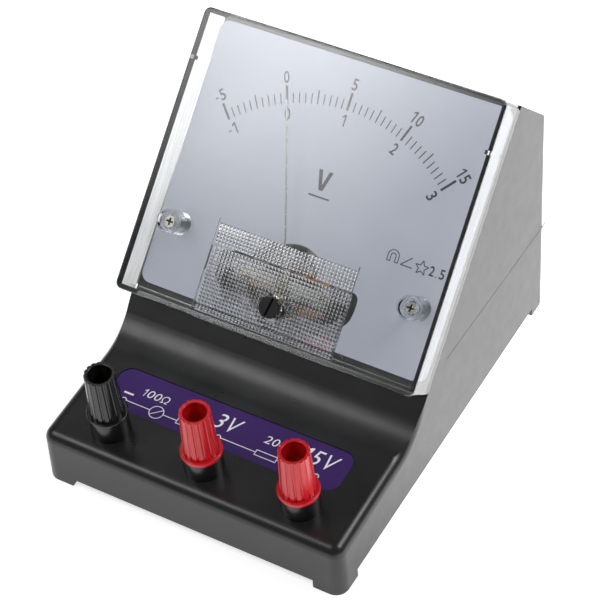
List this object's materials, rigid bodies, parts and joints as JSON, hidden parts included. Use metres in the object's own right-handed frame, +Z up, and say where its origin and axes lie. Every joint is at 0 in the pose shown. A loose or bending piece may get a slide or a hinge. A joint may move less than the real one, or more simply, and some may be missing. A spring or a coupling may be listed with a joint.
{
  "type": "desk voltmeter",
  "caption": "Wedge-shaped desk voltmeter: clear cover over a slanted dial with needle, zero adjuster, and fluted binding posts with plug sockets on a low front deck.",
  "frame": {"origin": "centre of the footprint, on the plane the four corner feet stand on", "axes": "+X to the viewer's right, -Y towards the terminals, +Z up"},
  "size_m": [0.099, 0.132, 0.1006],
  "materials": {
    "black_abs": "satin",
    "black_bakelite": "polished",
    "red_plastic": "polished",
    "clear_styrene": "polished",
    "dial_paint": "satin",
    "label_print": "satin",
    "nickel": "satin",
    "brass": "turned",
    "bronze": "drawn",
    "tinned_brass": "tinned",
    "soft_iron": "ground",
    "magnet_ferrite": "ground",
    "coil_copper": "enamelled",
    "aluminium": "drawn",
    "spindle_steel": "polished",
    "pointer_paint": "matt",
    "resistor_body": "lacquered",
    "wire_pvc": "satin",
    "tag_board": "varnished"
  },
  "bodies": {
    "instrument": {"base_plate": "black_abs", "base_plate_screws": "nickel", "bridge_nuts": "nickel", "bridge_pillars": "brass", "case_shell": "black_abs", "clear_cover": "clear_styrene", "core_holders": "brass", "cover_screws": "nickel", "dial_plate": "dial_paint", "front_bridge": "tinned_brass", "front_hairspring": "bronze", "hookup_wires": "wire_pvc", "iron_core": "soft_iron", "jewel_lock_nut": "brass", "jewel_screws": "brass", "magnet_yoke": "soft_iron", "magnets": "magnet_ferrite", "movement_frame": "tinned_brass", "movement_screws": "nickel", "pole_shoes": "soft_iron", "rear_bridge": "tinned_brass", "rear_hairspring": "bronze", "series_resistors": "resistor_body", "solder_lugs": "tinned_brass", "stop_pins": "nickel", "tag_strip": "tag_board", "terminal_collars": "black_bakelite", "terminal_label": "label_print", "terminal_nuts": "brass", "terminal_studs": "brass", "terminal_washers": "nickel"},
    "moving_coil": {"coil_former": "aluminium", "coil_winding": "coil_copper", "spindle_pivots": "spindle_steel", "pointer": "pointer_paint", "counterweights": "brass"},
    "zero_adjuster": {"zero_adjuster": "black_bakelite"},
    "zero_lever": {"zero_lever": "brass"},
    "insert_negative": {"cap_insert_negative": "brass"},
    "cap_negative": {"terminal_cap_negative": "black_bakelite"},
    "insert_3v": {"cap_insert_3v": "brass"},
    "cap_3v": {"terminal_cap_3v": "red_plastic"},
    "insert_15v": {"cap_insert_15v": "brass"},
    "cap_15v": {"terminal_cap_15v": "red_plastic"}
  },
  "joints": [
    {"name": "needle_swing", "type": "hinge", "parent": "instrument", "child": "moving_coil", "pos_m": [0, -0.00089, 0.04354], "axis": [0, 0.712, -0.7022], "range_deg": [-27.8, 65.7], "stiffness_Nm_per_rad": 0.00005},
    {"name": "zero_adjuster_turn", "type": "hinge", "parent": "instrument", "child": "zero_adjuster", "pos_m": [0, -0.00629, 0.03806], "axis": [0, -0.712, 0.7022], "range_deg": [-40, 40]},
    {"name": "zero_lever_swing", "type": "hinge", "parent": "instrument", "child": "zero_lever", "pos_m": [0, -0.00089, 0.04354], "axis": [0, -0.712, 0.7022], "range_deg": [-7, 7]},
    {"name": "cap_lift_negative", "type": "slide", "parent": "instrument", "child": "insert_negative", "axis": [0, -0.0583, 0.9983], "range_m": [0, 0.0035]},
    {"name": "cap_turn_negative", "type": "hinge", "parent": "insert_negative", "child": "cap_negative", "pos_m": [-0.0313, -0.05562, 0.02492], "axis": [0, -0.0583, 0.9983], "range_deg": [0, 1260]},
    {"name": "cap_lift_3v", "type": "slide", "parent": "instrument", "child": "insert_3v", "axis": [0, -0.0583, 0.9983], "range_m": [0, 0.0035]},
    {"name": "cap_turn_3v", "type": "hinge", "parent": "insert_3v", "child": "cap_3v", "pos_m": [0, -0.05562, 0.02492], "axis": [0, -0.0583, 0.9983], "range_deg": [0, 1260]},
    {"name": "cap_lift_15v", "type": "slide", "parent": "instrument", "child": "insert_15v", "axis": [0, -0.0583, 0.9983], "range_m": [0, 0.0035]},
    {"name": "cap_turn_15v", "type": "hinge", "parent": "insert_15v", "child": "cap_15v", "pos_m": [0.0313, -0.05562, 0.02492], "axis": [0, -0.0583, 0.9983], "range_deg": [0, 1260]}
  ],
  "couplings": [
    {"joint": "zero_lever_swing", "follows": "zero_adjuster_turn", "ratio": -0.172},
    {"joint": "cap_turn_negative", "follows": "cap_lift_negative", "rad_per_m": 6283.2},
    {"joint": "cap_turn_3v", "follows": "cap_lift_3v", "rad_per_m": 6283.2},
    {"joint": "cap_turn_15v", "follows": "cap_lift_15v", "rad_per_m": 6283.2}
  ]
}
